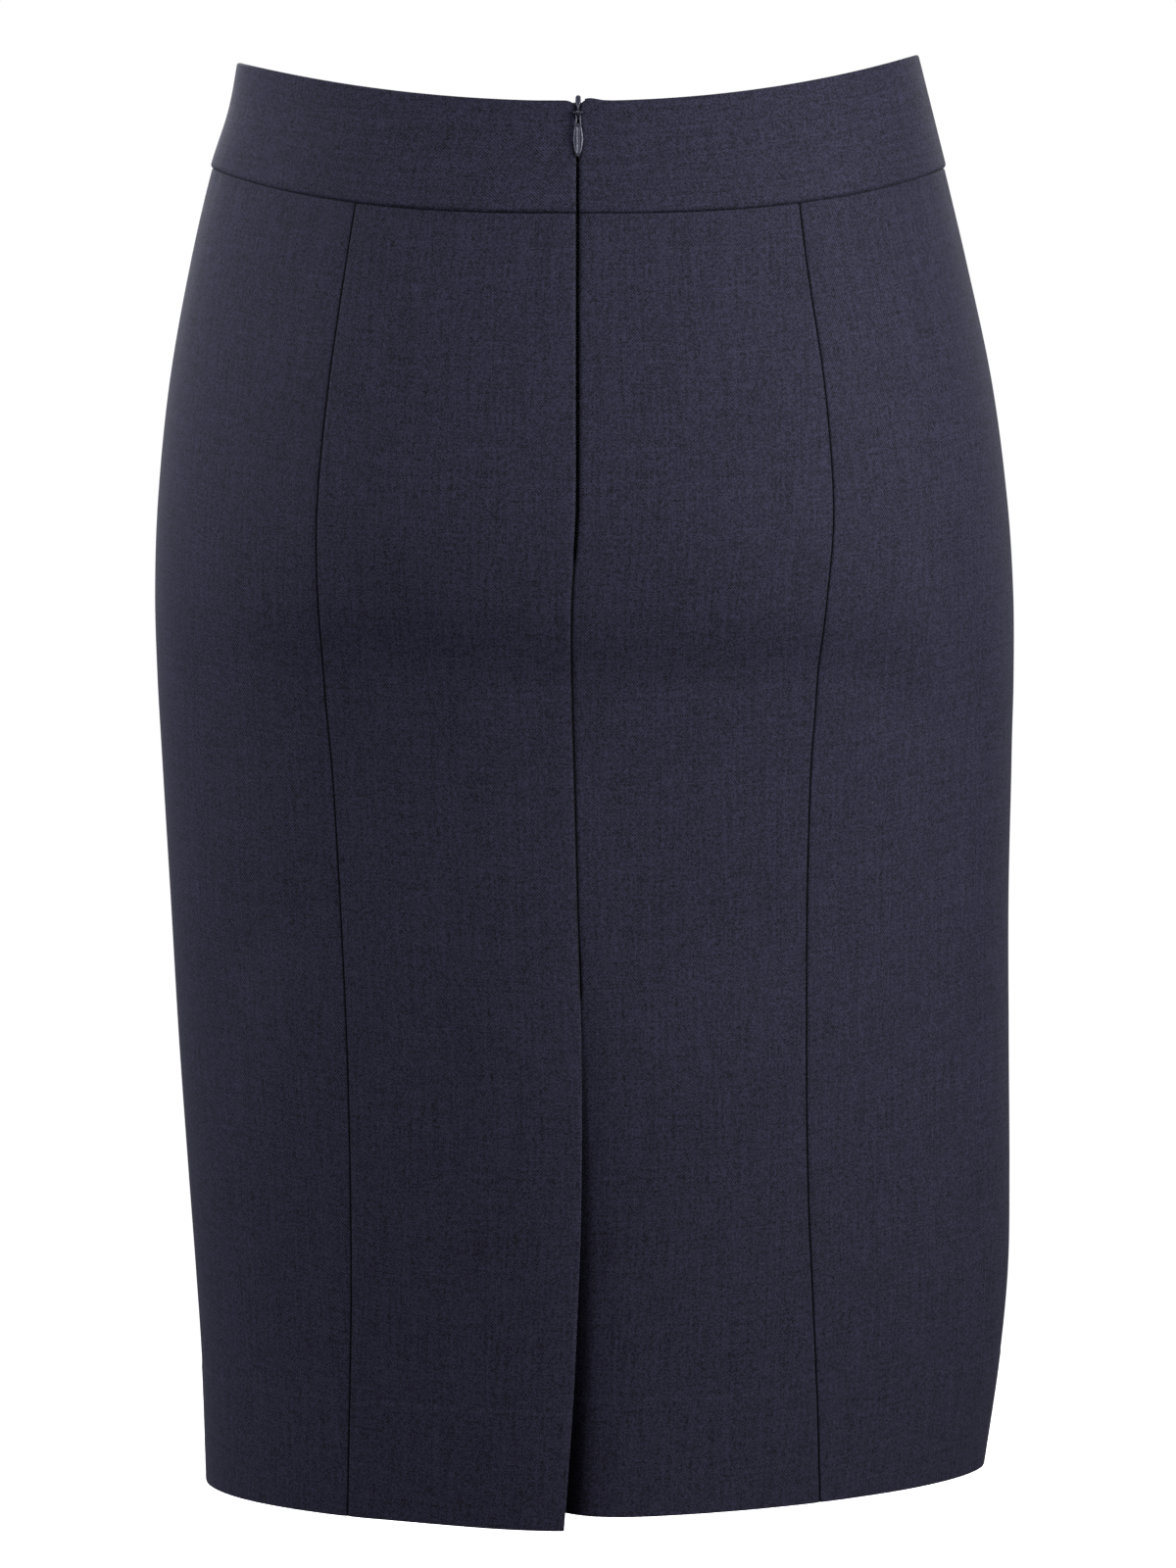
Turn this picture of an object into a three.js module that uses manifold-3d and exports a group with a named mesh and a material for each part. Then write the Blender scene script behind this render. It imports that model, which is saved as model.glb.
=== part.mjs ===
// A knee-length pencil skirt in wool suiting, filled out as when worn, with nobody in it.
// Millimetres, +Z up. The front faces -Y and the wearer's left is +X. The origin is on the axis of
// the waist, level with the waistband's lower edge at the sides.

import * as THREE from "three";
import { mergeVertices } from "three/addons/utils/BufferGeometryUtils.js";
import Module from "manifold-3d";

// ---- Driving sizes ---------------------------------------------------------------------------

const CLOTH_WALL = 1.2;
const BAND_WALL = 2.2; // two layers of cloth and an interfacing
const BAND_PROUD = 1.0; // how far the band's face stands out from the panels
const SEAM_GAP = 0.3;
const SIDE_SEAM_DEG = 5; // the side seams lie this far forward of the widest point
const FRONT_ROUNDNESS = 2.2; // exponent of the front's rounded section

// Heights at the sides, centre back and centre front. Each line between them is a smooth curve.
const BAND_TOP = { left: 44.2, right: 47.5, back: 27.2, front: 22.0, power: 2.0 };
const BAND_SEAM = { left: 0, right: 0, back: -18.5, front: -23.5, power: 2.6 };
const HEM = { left: -561.5, right: -555.4, back: -559, front: -560, power: 1.5 };

// Cross-sections of the cloth's outer face. left, right, back and front are distances from the axis;
// roundLeft and roundRight are the exponents of the two back quarters (2 is an ellipse); centre,
// princessLeft and princessRight are the x of the centre back line and of the two princess seams.
const COLUMNS = [
  "z", "left", "right", "back", "front", "roundLeft", "roundRight",
  "centre", "princessLeft", "princessRight",
];
const SECTIONS = [
  [50, 141.8, 142.6, 97.0, 102.0, 2.05, 2.05, -0.6, 84.0, 84.0],
  [25, 146.4, 149.0, 101.5, 105.0, 2.05, 2.05, -0.6, 87.0, 87.0],
  [0, 154.4, 155.3, 106.5, 108.5, 2.05, 2.05, -0.6, 89.0, 90.0],
  [-40, 163.8, 165.0, 115.5, 113.0, 2.1, 2.1, -0.6, 95.0, 94.6],
  [-90, 172.8, 175.8, 126.0, 116.0, 2.15, 2.15, -0.6, 102.0, 101.8],
  [-140, 178.0, 182.6, 132.5, 117.0, 2.15, 2.15, -0.2, 106.5, 105.2],
  [-180, 179.5, 185.4, 131.2, 116.0, 2.15, 2.15, 2.0, 106.2, 102.2],
  [-215, 178.7, 185.8, 124.6, 114.3, 2.12, 2.12, 1.8, 103.8, 98.8],
  [-250, 176.9, 185.2, 121.8, 112.6, 2.1, 2.08, 0.9, 100.7, 96.2],
  [-310, 173.6, 184.2, 121.8, 109.6, 2.05, 1.98, -0.6, 97.5, 94.8],
  [-370, 170.4, 184.6, 122.0, 107.5, 2.0, 1.9, -2.0, 95.0, 94.8],
  [-430, 166.4, 185.2, 119.4, 106.0, 2.0, 1.85, -1.7, 94.0, 96.2],
  [-470, 163.6, 184.8, 116.6, 105.5, 2.0, 1.8, -0.3, 94.0, 98.2],
  [-510, 161.2, 181.2, 113.4, 105.0, 2.0, 1.75, 1.6, 94.8, 100.2],
  [-562, 159.6, 173.8, 108.5, 104.5, 2.0, 1.7, 5.2, 96.0, 102.0],
];

// The back vent: the left panel laps over an extension of the right one, and hangs a little open.
const VENT = {
  top: -338,
  underlap: 38, // width of the extension
  kick: 6.0, // how far the lap's free corner stands out at the hem
  kickReach: 75, // width of the cloth that kicks
  lapDrop: 3.3, // how much lower the lap hangs at the centre back
  underlapRise: 0.2, // how much higher the right panel's hem is there
  sinkTop: 2.2, // how far the right panel lies in at the vent's top
  sinkHem: 9.0, // and at the hem
  sinkReach: 52, // width of the cloth that sinks
  sinkPower: 4, // it falls away most steeply next to the lap
  lead: 40, // the sinking starts this far above the vent
};

// The concealed zip in the centre back.
const ZIP = {
  x: -0.35,
  bottom: -157, // where the opening ends
  straightTo: -95, // below this the zip's line bends over to the seam's
  halfGap: 0.7, // the cloth edges stand this far to each side of the zip's line
  mouth: { left: 5.5, right: 3.0 }, // and this far at the band's rounded top corners
  mouthDepth: { left: 3.0, right: 5.0 },
  tapeWidth: 11,
  tapeWall: 1.0,
  tapeGap: 0.6, // behind the panels, whose facets are longer than the tapes'
  tapeTop: 19,
  tapeTail: 14, // how far the tapes run on below the opening
  chainHalf: 1.9,
  chainWall: 1.5,
};

// Slider and pull tab, in a frame at the pull's pivot: u across, v up the band, w out of it.
const PIVOT = { x: -0.55, z: 21.9, proud: 1.9 }; // proud: the pivot's distance out of the band's face
const SLIDER = {
  ringRadius: 1.3, eyeRadius: 0.58, webHalf: 0.4, webTop: 5.6, webFoot: -2.6,
  noseHalf: 1.1, noseBottom: 3.2, noseTop: 7.2, noseFront: -0.6, noseBack: -4.2,
  bodyHalf: 2.9, bodyBottom: -4.6, bodyTop: 5.4, bodyWall: 2.2,
};
const PULL = {
  restDeg: 3.4, // the tab leans in by this much, so its tip rests on the band
  pinRadius: 0.48, pinHalf: 2.0, wall: 0.9, length: 18.4, slotHalf: 0.56, slotEnd: -4.7,
  armHalf: 1.08, armEnd: -5.3, bellyHalf: 2.0, bellyAt: -10.6, tipHalf: 0.95,
};

// Grid sizes: rows down each panel above and below the vent's top, columns across each panel.
const ROWS_ABOVE_VENT = 15;
const ROWS_IN_VENT = 9;
const BAND_ROWS = [0, 0.03, 0.1, 0.4, 0.7, 1]; // shares of the way down, close at the corners
const COLUMNS_ACROSS = { centre: 7, side: 8, front: 24, bandBack: 14, underlap: 3 };

// ---- The worn form ---------------------------------------------------------------------------

const ramp = (t) => {
  const s = Math.min(1, Math.max(0, t));
  return s * s * (3 - 2 * s);
};
const mix = (a, b, t) => a + (b - a) * t;

// Slope of one column at section i, from its neighbours.
function slope(i, c) {
  const a = SECTIONS[Math.max(0, i - 1)];
  const b = SECTIONS[Math.min(SECTIONS.length - 1, i + 1)];
  return (b[c] - a[c]) / (b[0] - a[0]);
}

// All columns at height z, on a smooth curve through the sections.
function sectionAt(z) {
  let i = 0;
  while (i < SECTIONS.length - 2 && z < SECTIONS[i + 1][0]) i += 1;
  const [a, b] = [SECTIONS[i], SECTIONS[i + 1]];
  const span = b[0] - a[0];
  const t = (z - a[0]) / span;
  const section = {};
  COLUMNS.forEach((name, c) => {
    const rise = a[c] * (1 + 2 * t) * (1 - t) ** 2 + b[c] * t * t * (3 - 2 * t);
    section[name] = rise + span * t * (1 - t) * ((1 - t) * slope(i, c) - t * slope(i + 1, c));
  });
  return section;
}

// A point of the cloth's outer face. Angle 0 is the wearer's left and a quarter turn is the back.
function onForm(angle, z) {
  const s = sectionAt(z);
  const [c, d] = [Math.cos(angle), Math.sin(angle)];
  const backPower = c >= 0 ? s.roundLeft : s.roundRight;
  const power = 2 / (d >= 0 ? backPower : FRONT_ROUNDNESS);
  const x = Math.sign(c) * (c >= 0 ? s.left : s.right) * Math.abs(c) ** power;
  const y = Math.sign(d) * (d >= 0 ? s.back : s.front) * Math.abs(d) ** power;
  return new THREE.Vector3(x, y, z);
}

function outwardAt(angle, z) {
  const step = 0.004;
  const around = onForm(angle + step, z).sub(onForm(angle - step, z));
  const up = onForm(angle, z + 1).sub(onForm(angle, z - 1));
  return around.cross(up).normalize();
}

// The angle at which the back's section passes through x.
function angleOf(x, z) {
  const s = sectionAt(z);
  const half = x >= 0 ? s.left : s.right;
  const power = (x >= 0 ? s.roundLeft : s.roundRight) / 2;
  return Math.acos(Math.sign(x) * Math.min(1, Math.abs(x) / half) ** power);
}

// The height of a line that goes round the skirt, such as the waistband's top.
function heightOf(line, angle) {
  const c = Math.cos(angle);
  const centre = Math.sin(angle) >= 0 ? line.back : line.front;
  return mix(centre, c >= 0 ? line.left : line.right, Math.abs(c) ** line.power);
}

// How far the left panel's free edge stands out, and how far the right panel lies in.
function lapLift(x, z) {
  const down = (VENT.top - z) / (VENT.top - HEM.back);
  return VENT.kick * ramp(down) * ramp(1 - (x - sectionAt(z).centre) / VENT.kickReach);
}
function underlapLift(x, z) {
  const down = Math.max(0, (VENT.top - z) / (VENT.top - HEM.back));
  const depth = mix(VENT.sinkTop, VENT.sinkHem, Math.min(1, down));
  const across = Math.min(1, Math.max(0, 1 - (sectionAt(z).centre - x) / VENT.sinkReach));
  return -depth * ramp((VENT.top + VENT.lead - z) / VENT.lead) * across ** VENT.sinkPower;
}

// ---- Walls of cloth --------------------------------------------------------------------------

// A closed wall from two grids of points. keep(i, j) says whether a cell is cloth.
function wall(outer, inner, keep = () => true) {
  const [rows, cols] = [outer.length - 1, outer[0].length - 1];
  const points = [...outer.flat(), ...inner.flat()];
  const out = (i, j) => i * (cols + 1) + j;
  const inn = (i, j) => outer.flat().length + out(i, j);
  const kept = (i, j) => i >= 0 && j >= 0 && i < rows && j < cols && keep(i, j);
  const faces = [];
  const quad = (a, b, c, d) => faces.push([a, b, c], [a, c, d]);
  for (let i = 0; i < rows; i += 1) {
    for (let j = 0; j < cols; j += 1) {
      if (!kept(i, j)) continue;
      quad(out(i, j), out(i + 1, j), out(i + 1, j + 1), out(i, j + 1));
      quad(inn(i, j + 1), inn(i + 1, j + 1), inn(i + 1, j), inn(i, j));
      if (!kept(i - 1, j)) quad(out(i, j), out(i, j + 1), inn(i, j + 1), inn(i, j));
      if (!kept(i + 1, j)) quad(out(i + 1, j + 1), out(i + 1, j), inn(i + 1, j), inn(i + 1, j + 1));
      if (!kept(i, j - 1)) quad(out(i + 1, j), out(i, j), inn(i, j), inn(i + 1, j));
      if (!kept(i, j + 1)) quad(out(i, j + 1), out(i + 1, j + 1), inn(i + 1, j + 1), inn(i, j + 1));
    }
  }
  const geometry = new THREE.BufferGeometry().setFromPoints(points);
  geometry.setIndex(faces.flat());
  return mergeVertices(geometry.toNonIndexed().deleteAttribute("uv"), 1e-4);
}

// A piece of cloth on the form. edges(z, beyond) gives the angles of its two edges, or of its first
// edge and the end of the cloth beyond it; heights has a function of the angle for each row;
// columns are shares of the way across, negative beyond the first edge; face is how far its outer
// side stands out of the form, and lift(x, z) adds to that.
function sheet({ edges, heights, columns, face = 0, thickness, lift = () => 0, keep }) {
  const outer = [];
  const inner = [];
  heights.forEach((height) => {
    const outerRow = [];
    const innerRow = [];
    columns.forEach((share) => {
      let angle = Math.PI / 2;
      for (let pass = 0; pass < 8; pass += 1) {
        const [from, to] = edges(height(angle), share < 0);
        angle = share < 0 ? mix(from, to, -share) : mix(from, to, share);
      }
      const z = height(angle);
      const point = onForm(angle, z);
      const outward = outwardAt(angle, z);
      const out = face + lift(point.x, z);
      outerRow.push(point.clone().addScaledVector(outward, out));
      innerRow.push(point.clone().addScaledVector(outward, out - thickness));
    });
    outer.push(outerRow);
    inner.push(innerRow);
  });
  return wall(outer, inner, keep);
}

const shares = (count, from = 0, to = 1) =>
  Array.from({ length: count + 1 }, (_, i) => mix(from, to, i / count));

// The rows of the panels. The hem rises by so much at centre back.
function panelHeights(riseAtBack) {
  const hemAt = (angle) => heightOf(HEM, angle) + riseAtBack * Math.max(0, Math.sin(angle)) ** 3;
  return [
    ...shares(ROWS_ABOVE_VENT).slice(0, -1).map(
      (t) => (angle) => mix(heightOf(BAND_SEAM, angle) - SEAM_GAP / 2, VENT.top, t)),
    ...shares(ROWS_IN_VENT).map((t) => (angle) => mix(VENT.top, hemAt(angle), t)),
  ];
}
const LEFT_HEIGHTS = panelHeights(-VENT.lapDrop);
const RIGHT_HEIGHTS = panelHeights(VENT.underlapRise);
const BAND_HEIGHTS = BAND_ROWS.map(
  (t) => (angle) => mix(heightOf(BAND_TOP, angle), heightOf(BAND_SEAM, angle) + SEAM_GAP / 2, t));

const SIDE_LEFT = -THREE.MathUtils.degToRad(SIDE_SEAM_DEG);
const SIDE_RIGHT = Math.PI + THREE.MathUtils.degToRad(SIDE_SEAM_DEG);
const halfGapAngle = SEAM_GAP / 2 / 115; // half a seam gap, at the side seams' distance from the axis

// Half the gap at centre back, to one side: open along the zip, and a plain seam below it.
function centreHalfGap(z, side) {
  const closed = SEAM_GAP / 2;
  const hand = side > 0 ? "left" : "right";
  const corner = Math.min(1, Math.max(0, (z - BAND_TOP.back) / ZIP.mouthDepth[hand] + 1));
  const open = mix(ZIP.halfGap, ZIP.mouth[hand], 1 - Math.sqrt(1 - corner ** 2));
  return mix(open, closed, ramp((ZIP.bottom - z) / 6));
}
const centreLine = (z) => mix(
  ZIP.x, sectionAt(z).centre, ramp((ZIP.straightTo - z) / (ZIP.straightTo - ZIP.bottom)));

// The angle of each seam on the back, moved by half a gap towards +X (1) or -X (-1).
const centreAngle = (z, side) => angleOf(centreLine(z) + side * centreHalfGap(z, side), z);
const princessLeftAngle = (z, side) => angleOf(sectionAt(z).princessLeft + side * SEAM_GAP / 2, z);
const princessRightAngle = (z, side) => angleOf(-sectionAt(z).princessRight + side * SEAM_GAP / 2, z);

const frontEdges = () => [SIDE_RIGHT + halfGapAngle, SIDE_LEFT + 2 * Math.PI - halfGapAngle];

// ---- Materials -------------------------------------------------------------------------------

const suiting = new THREE.MeshStandardMaterial({ color: 0x2e2d3b, roughness: 0.85, metalness: 0 });
const tape = new THREE.MeshStandardMaterial({ color: 0x242331, roughness: 0.9, metalness: 0 });
const coil = new THREE.MeshStandardMaterial({ color: 0x1b1b26, roughness: 0.5, metalness: 0 });
const lacquer = new THREE.MeshStandardMaterial({ color: 0x343744, roughness: 0.3, metalness: 0.4 });

const skirt = new THREE.Group();

function add(name, geometry, material, parent = skirt) {
  const mesh = new THREE.Mesh(geometry, material);
  mesh.name = name;
  parent.add(mesh);
}

// ---- Panels ----------------------------------------------------------------------------------

function addPanels() {
  const left = { heights: LEFT_HEIGHTS, thickness: CLOTH_WALL };
  const right = { heights: RIGHT_HEIGHTS, thickness: CLOTH_WALL };
  add("front_panel", sheet({
    ...left, edges: frontEdges, columns: shares(COLUMNS_ACROSS.front),
  }), suiting);
  add("back_side_left", sheet({
    ...left,
    edges: (z) => [SIDE_LEFT + halfGapAngle, princessLeftAngle(z, 1)],
    columns: shares(COLUMNS_ACROSS.side),
  }), suiting);
  add("back_side_right", sheet({
    ...right,
    edges: (z) => [princessRightAngle(z, -1), SIDE_RIGHT - halfGapAngle],
    columns: shares(COLUMNS_ACROSS.side),
  }), suiting);
  add("back_centre_left", sheet({
    ...left,
    edges: (z) => [princessLeftAngle(z, -1), centreAngle(z, 1)],
    columns: shares(COLUMNS_ACROSS.centre),
    lift: lapLift,
  }), suiting);
  // Columns below 0 are the vent's extension, which exists only below the vent's top.
  add("back_centre_right", sheet({
    ...right,
    edges: (z, inUnderlap) => [
      centreAngle(z, -1),
      inUnderlap ? angleOf(centreLine(z) + VENT.underlap, z) : princessRightAngle(z, 1),
    ],
    columns: [...shares(COLUMNS_ACROSS.underlap, -1, 0).slice(0, -1), ...shares(COLUMNS_ACROSS.centre)],
    lift: underlapLift,
    keep: (i, j) => j >= COLUMNS_ACROSS.underlap || i >= ROWS_ABOVE_VENT,
  }), suiting);
}

// ---- Waistband -------------------------------------------------------------------------------

function addWaistband() {
  const band = { heights: BAND_HEIGHTS, thickness: BAND_WALL, face: BAND_PROUD };
  add("waistband_front", sheet({
    ...band, edges: frontEdges, columns: shares(COLUMNS_ACROSS.front),
  }), suiting);
  add("waistband_back_left", sheet({
    ...band,
    edges: (z) => [SIDE_LEFT + halfGapAngle, centreAngle(z, 1)],
    columns: shares(COLUMNS_ACROSS.bandBack),
  }), suiting);
  add("waistband_back_right", sheet({
    ...band,
    edges: (z) => [centreAngle(z, -1), SIDE_RIGHT - halfGapAngle],
    columns: shares(COLUMNS_ACROSS.bandBack),
  }), suiting);
}

// ---- Zip -------------------------------------------------------------------------------------

// A strip down the inside of the centre back, between two x offsets from the zip's line.
function strip(from, to, top, bottom, face, thickness) {
  return sheet({
    edges: (z) => [angleOf(centreLine(z) + to, z), angleOf(centreLine(z) + from, z)],
    heights: shares(ROWS_ABOVE_VENT).map((t) => () => mix(top, bottom, t)),
    columns: shares(1),
    face,
    thickness,
  });
}

function addTapesAndChain() {
  const tapeFace = -CLOTH_WALL - ZIP.tapeGap;
  const chainFace = tapeFace - ZIP.tapeWall - SEAM_GAP;
  const inner = ZIP.halfGap + 0.2;
  const tail = ZIP.bottom - ZIP.tapeTail;
  const chainTop = PIVOT.z + SLIDER.bodyBottom - 1;
  add("zip_tape_left", strip(inner, ZIP.tapeWidth, ZIP.tapeTop, tail, tapeFace, ZIP.tapeWall), tape);
  add("zip_tape_right", strip(-ZIP.tapeWidth, -inner, ZIP.tapeTop, tail, tapeFace, ZIP.tapeWall), tape);
  add("zip_chain", strip(
    -ZIP.chainHalf, ZIP.chainHalf, chainTop, tail + 4, chainFace, ZIP.chainWall), coil);
}

const wasm = await Module();
wasm.setup();

// A closed geometry as a manifold solid, and a union of several back as one geometry.
function solid(geometry) {
  const bare = (geometry.index ? geometry.toNonIndexed() : geometry.clone());
  bare.deleteAttribute("normal").deleteAttribute("uv");
  const merged = mergeVertices(bare, 1e-4);
  return new wasm.Manifold(new wasm.Mesh({
    numProp: 3,
    vertProperties: merged.attributes.position.array,
    triVerts: new Uint32Array(merged.index.array),
  }));
}
function union(...geometries) {
  const mesh = geometries.map(solid).reduce((a, b) => a.add(b)).getMesh();
  return new THREE.BufferGeometry()
    .setAttribute("position", new THREE.BufferAttribute(mesh.vertProperties, 3))
    .setIndex(new THREE.BufferAttribute(mesh.triVerts, 1));
}

// A shape drawn in the plane across and up, given a thickness about the plane w.
function plate(shape, thickness, w = 0, curveSegments = 8) {
  return new THREE.ExtrudeGeometry(shape, { depth: thickness, bevelEnabled: false, curveSegments })
    .translate(0, 0, w - thickness / 2);
}

function roundedBox(halfWidth, bottom, top, radius) {
  const shape = new THREE.Shape();
  shape.moveTo(-halfWidth + radius, bottom);
  shape.lineTo(halfWidth - radius, bottom);
  shape.absarc(halfWidth - radius, bottom + radius, radius, -Math.PI / 2, 0);
  shape.lineTo(halfWidth, top - radius);
  shape.absarc(halfWidth - radius, top - radius, radius, 0, Math.PI / 2);
  shape.lineTo(-halfWidth + radius, top);
  shape.absarc(-halfWidth + radius, top - radius, radius, Math.PI / 2, Math.PI);
  shape.lineTo(-halfWidth, bottom + radius);
  shape.absarc(-halfWidth + radius, bottom + radius, radius, Math.PI, 1.5 * Math.PI);
  return shape;
}

// The slider: a body behind the tapes, a nose between the band's corners, and a web with the eye
// that holds the pull.
function sliderGeometry(bodyFace) {
  const s = SLIDER;
  const web = new THREE.Shape();
  web.moveTo(bodyFace - s.bodyWall / 2, s.webFoot);
  web.lineTo(-s.ringRadius * 0.7, s.webFoot);
  web.lineTo(0, -s.ringRadius);
  web.absarc(0, 0, s.ringRadius, -Math.PI / 2, Math.PI / 2);
  web.lineTo(s.noseFront - 0.4, s.webTop);
  web.lineTo(bodyFace - s.bodyWall / 2, s.webTop);
  web.closePath();
  web.holes.push(new THREE.Path().absarc(0, 0, s.eyeRadius, 0, 2 * Math.PI, true));
  // Drawn as (w, v), the web turns so that its thickness lies across.
  const webPlate = plate(web, 2 * s.webHalf).rotateY(-Math.PI / 2);
  const nose = plate(
    roundedBox(s.noseHalf, s.noseBottom, s.noseTop, s.noseHalf * 0.9),
    s.noseFront - s.noseBack, (s.noseFront + s.noseBack) / 2);
  const body = plate(
    roundedBox(s.bodyHalf, s.bodyBottom, s.bodyTop, 1.2), s.bodyWall, bodyFace - s.bodyWall / 2);
  return union(webPlate, nose, body);
}

// The pull tab: a pin through the slider's eye, two arms and a slim drop-shaped blade.
function pullGeometry() {
  const p = PULL;
  const blade = new THREE.Shape();
  blade.moveTo(-p.armHalf, p.pinRadius);
  blade.lineTo(-p.armHalf, p.armEnd);
  blade.quadraticCurveTo(-p.bellyHalf, mix(p.armEnd, p.bellyAt, 0.5), -p.bellyHalf, p.bellyAt);
  blade.quadraticCurveTo(-p.bellyHalf, mix(p.bellyAt, -p.length, 0.6), -p.tipHalf, -p.length + 0.5);
  blade.quadraticCurveTo(0, -p.length - 0.5, p.tipHalf, -p.length + 0.5);
  blade.quadraticCurveTo(p.bellyHalf, mix(p.bellyAt, -p.length, 0.6), p.bellyHalf, p.bellyAt);
  blade.quadraticCurveTo(p.bellyHalf, mix(p.armEnd, p.bellyAt, 0.5), p.armHalf, p.armEnd);
  blade.lineTo(p.armHalf, p.pinRadius);
  blade.closePath();
  const slot = new THREE.Path();
  slot.moveTo(-p.slotHalf, 0);
  slot.lineTo(p.slotHalf, 0);
  slot.lineTo(p.slotHalf, p.slotEnd + p.slotHalf);
  slot.absarc(0, p.slotEnd + p.slotHalf, p.slotHalf, 0, Math.PI, true);
  slot.closePath();
  // The slot opens at the top, where the pin closes it.
  const cut = solid(plate(new THREE.Shape(slot.getPoints(6)), 2 * p.wall));
  const above = solid(new THREE.BoxGeometry(2 * p.slotHalf, 2, 2 * p.wall).translate(0, 1, 0));
  const arms = solid(plate(blade, p.wall)).subtract(cut).subtract(above);
  const pin = solid(new THREE.CylinderGeometry(p.pinRadius, p.pinRadius, 2 * p.pinHalf, 20)
    .rotateZ(Math.PI / 2));
  const mesh = arms.add(pin).getMesh();
  return new THREE.BufferGeometry()
    .setAttribute("position", new THREE.BufferAttribute(mesh.vertProperties, 3))
    .setIndex(new THREE.BufferAttribute(mesh.triVerts, 1));
}

// The frame at the pivot leans with the band, and faces the back.
function addSliderAndPull() {
  const angle = angleOf(ZIP.x, PIVOT.z);
  const outward = outwardAt(angle, PIVOT.z).setX(0).normalize();
  const across = new THREE.Vector3(-1, 0, 0);
  const place = new THREE.Group();
  place.position.copy(onForm(angle, PIVOT.z)).addScaledVector(outward, BAND_PROUD + PIVOT.proud);
  place.position.x = PIVOT.x;
  place.setRotationFromMatrix(
    new THREE.Matrix4().makeBasis(across, outward.clone().cross(across), outward));
  const bodyFace = -PIVOT.proud - BAND_PROUD - CLOTH_WALL - ZIP.tapeGap - ZIP.tapeWall - SEAM_GAP;
  add("zip_slider", sliderGeometry(bodyFace), lacquer, place);
  const pull = pullGeometry().rotateX(THREE.MathUtils.degToRad(PULL.restDeg));
  add("zip_pull", pull, lacquer, place);
  skirt.add(place);
}

addPanels();
addWaistband();
addTapesAndChain();
addSliderAndPull();

export default skirt;
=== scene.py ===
"""The looks of a knee-length pencil skirt in navy suiting, filled out as when worn."""

import math

import bmesh
import bpy
import numpy as np
from mathutils import Matrix, Vector


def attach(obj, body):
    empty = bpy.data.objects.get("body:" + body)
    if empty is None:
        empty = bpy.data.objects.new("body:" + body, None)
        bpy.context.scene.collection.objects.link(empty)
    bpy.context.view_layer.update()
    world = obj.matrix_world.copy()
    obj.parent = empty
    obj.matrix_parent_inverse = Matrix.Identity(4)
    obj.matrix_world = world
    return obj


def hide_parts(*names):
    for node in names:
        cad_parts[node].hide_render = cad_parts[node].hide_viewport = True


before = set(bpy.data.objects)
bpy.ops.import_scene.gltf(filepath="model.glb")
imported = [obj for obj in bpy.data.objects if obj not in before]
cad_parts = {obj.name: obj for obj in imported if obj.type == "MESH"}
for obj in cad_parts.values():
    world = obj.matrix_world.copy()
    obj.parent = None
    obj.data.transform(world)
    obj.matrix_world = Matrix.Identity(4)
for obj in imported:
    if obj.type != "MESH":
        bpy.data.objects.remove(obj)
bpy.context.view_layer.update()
MM = 0.001  # lengths below are millimetres unless their comment says otherwise

# ---- The worn form, as in the CAD model ------------------------------------------------------

BAND_WALL = 2.2
BAND_PROUD = 1.0
SEAM_GAP = 0.06
SEAM_LAP = 0.06
SIDE_SEAM = math.radians(5)
FRONT_ROUNDNESS = 2.2

BAND_TOP = dict(left=44.2, right=47.5, back=27.2, front=22.0, power=2.0)
BAND_SEAM = dict(left=0, right=0, back=-18.5, front=-23.5, power=2.6)
HEM = dict(left=-561.5, right=-555.4, back=-559, front=-560, power=1.5)

COLUMNS = (
    "z", "left", "right", "back", "front", "round_left", "round_right",
    "centre", "princess_left", "princess_right",
)
SECTIONS = np.array([
    [50, 141.8, 142.6, 97.0, 102.0, 2.05, 2.05, -0.6, 84.0, 84.0],
    [25, 146.4, 149.0, 101.5, 105.0, 2.05, 2.05, -0.6, 87.0, 87.0],
    [0, 154.4, 155.3, 106.5, 108.5, 2.05, 2.05, -0.6, 89.0, 90.0],
    [-40, 163.8, 165.0, 115.5, 113.0, 2.1, 2.1, -0.6, 95.0, 94.6],
    [-90, 172.8, 175.8, 126.0, 116.0, 2.15, 2.15, -0.6, 102.0, 101.8],
    [-140, 178.0, 182.6, 132.5, 117.0, 2.15, 2.15, -0.2, 106.5, 105.2],
    [-180, 179.5, 185.4, 131.2, 116.0, 2.15, 2.15, 2.0, 106.2, 102.2],
    [-215, 178.7, 185.8, 124.6, 114.3, 2.12, 2.12, 1.8, 103.8, 98.8],
    [-250, 176.9, 185.2, 121.8, 112.6, 2.1, 2.08, 0.9, 100.7, 96.2],
    [-310, 173.6, 184.2, 121.8, 109.6, 2.05, 1.98, -0.6, 97.5, 94.8],
    [-370, 170.4, 184.6, 122.0, 107.5, 2.0, 1.9, -2.0, 95.0, 94.8],
    [-430, 166.4, 185.2, 119.4, 106.0, 2.0, 1.85, -1.7, 94.0, 96.2],
    [-470, 163.6, 184.8, 116.6, 105.5, 2.0, 1.8, -0.3, 94.0, 98.2],
    [-510, 161.2, 181.2, 113.4, 105.0, 2.0, 1.75, 1.6, 94.8, 100.2],
    [-562, 159.6, 173.8, 108.5, 104.5, 2.0, 1.7, 5.2, 96.0, 102.0],
])


def section_slopes():
    """How fast each column changes with z at each section, from the sections beside it."""
    z = SECTIONS[:, :1]
    return np.vstack([
        (SECTIONS[1] - SECTIONS[0]) / (z[1] - z[0]),
        (SECTIONS[2:] - SECTIONS[:-2]) / (z[2:] - z[:-2]),
        (SECTIONS[-1] - SECTIONS[-2]) / (z[-1] - z[-2]),
    ])


SLOPES = section_slopes()

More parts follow.
